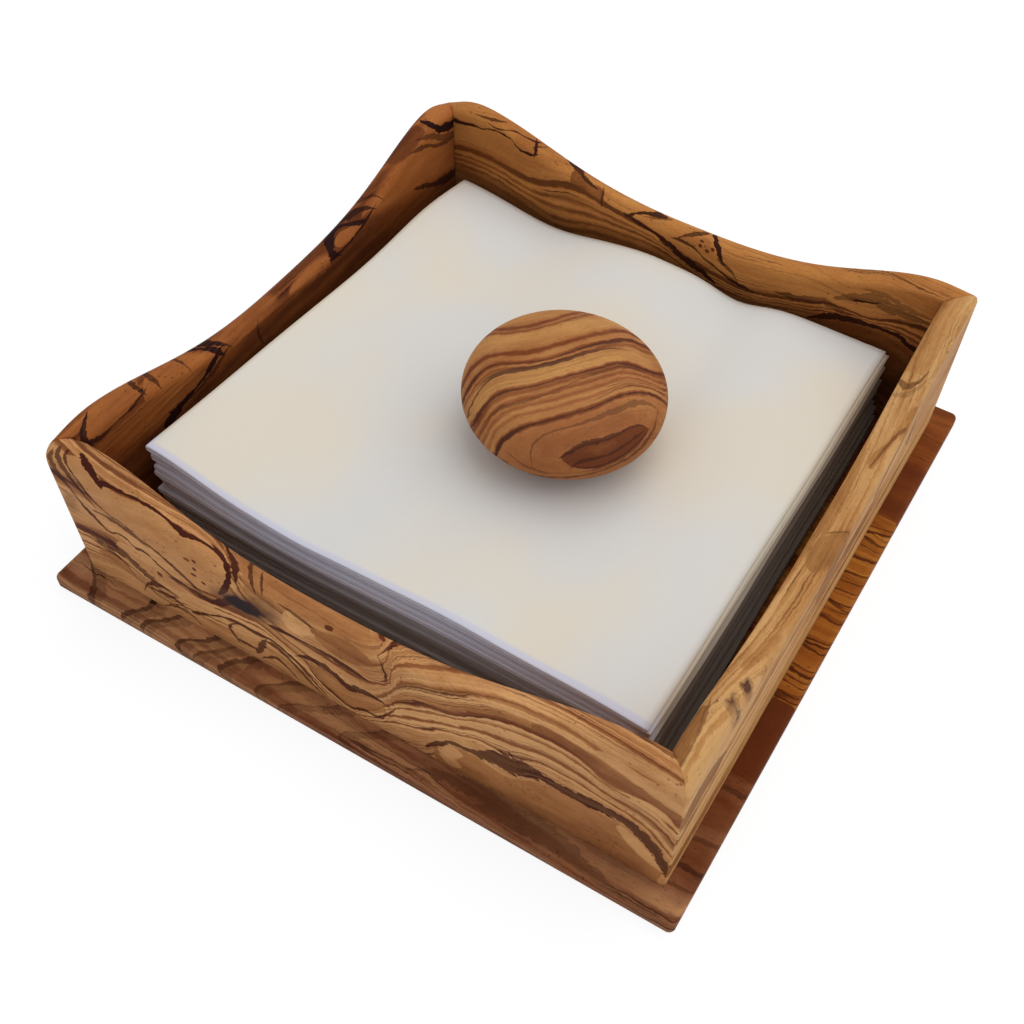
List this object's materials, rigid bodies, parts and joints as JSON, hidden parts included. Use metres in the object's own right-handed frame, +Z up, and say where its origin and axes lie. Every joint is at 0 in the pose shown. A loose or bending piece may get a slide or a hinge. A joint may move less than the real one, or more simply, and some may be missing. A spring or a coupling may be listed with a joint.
{
  "type": "napkin holder",
  "caption": "Square wooden napkin tray with wavy mitred walls on an overhanging base, a pile of folded napkins and a pebble-shaped wooden weight.",
  "frame": {"origin": "centre of the underside of the base, on the surface the tray stands on", "axes": "+X along the front wall to the right, +Y from the front wall to the back wall, +Z up"},
  "size_m": [0.215, 0.218, 0.0713],
  "materials": {
    "base_wood": "oiled olive wood, cross-grain staves, satin",
    "wall_wood": "oiled olive wood with dark veins and small knots, satin",
    "napkin_paper": "soft embossed paper, matt",
    "weight_wood": "oiled olive wood turned and sanded smooth, satin"
  },
  "bodies": {
    "holder": {"base_stave_front": "base_wood", "base_stave_middle": "base_wood", "base_stave_back": "base_wood", "wall_front": "wall_wood", "wall_right": "wall_wood", "wall_back": "wall_wood", "wall_left": "wall_wood"},
    "napkin_stack": {"napkin_01": "napkin_paper", "napkin_02": "napkin_paper", "napkin_03": "napkin_paper", "napkin_04": "napkin_paper", "napkin_05": "napkin_paper", "napkin_06": "napkin_paper", "napkin_07": "napkin_paper", "napkin_08": "napkin_paper", "napkin_09": "napkin_paper", "napkin_10": "napkin_paper", "napkin_11": "napkin_paper", "napkin_12": "napkin_paper", "napkin_13": "napkin_paper", "napkin_14": "napkin_paper", "napkin_15": "napkin_paper", "napkin_16": "napkin_paper", "napkin_17": "napkin_paper"},
    "top_napkin": {"napkin_18": "napkin_paper"},
    "weight": {"weight_pebble": "weight_wood"}
  },
  "joints": [
    {"name": "lift_napkin_stack", "type": "slide", "parent": "holder", "child": "napkin_stack", "axis": [0, 0, 1], "range_m": [0, 0.09]},
    {"name": "lift_top_napkin", "type": "slide", "parent": "napkin_stack", "child": "top_napkin", "axis": [0, 0, 1], "range_m": [0, 0.06]},
    {"name": "lift_weight", "type": "slide", "parent": "top_napkin", "child": "weight", "axis": [0, 0, 1], "range_m": [0, 0.1]}
  ]
}
